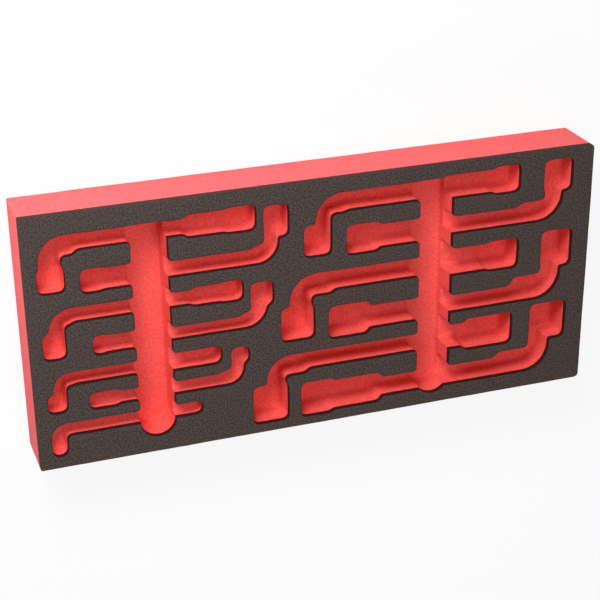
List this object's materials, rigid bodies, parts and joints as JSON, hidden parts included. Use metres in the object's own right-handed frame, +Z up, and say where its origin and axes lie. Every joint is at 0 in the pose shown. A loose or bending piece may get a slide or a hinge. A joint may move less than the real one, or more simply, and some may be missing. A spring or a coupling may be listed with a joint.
{
  "type": "foam tool insert",
  "caption": "Two-layer foam drawer insert with a thin black face over a red core, milled recesses for angled socket wrenches and two finger troughs across them",
  "frame": {"origin": "middle of the underside", "axes": "+X along the length, +Y across the width towards the top edge in the picture, +Z up through the black face"},
  "size_m": [0.418, 0.188, 0.042],
  "materials": {
    "red_foam": "matte closed-cell foam",
    "black_foam": "matte closed-cell foam"
  },
  "bodies": {
    "root": {"foam_core": "red_foam", "face_layer": "black_foam"}
  },
  "joints": []
}
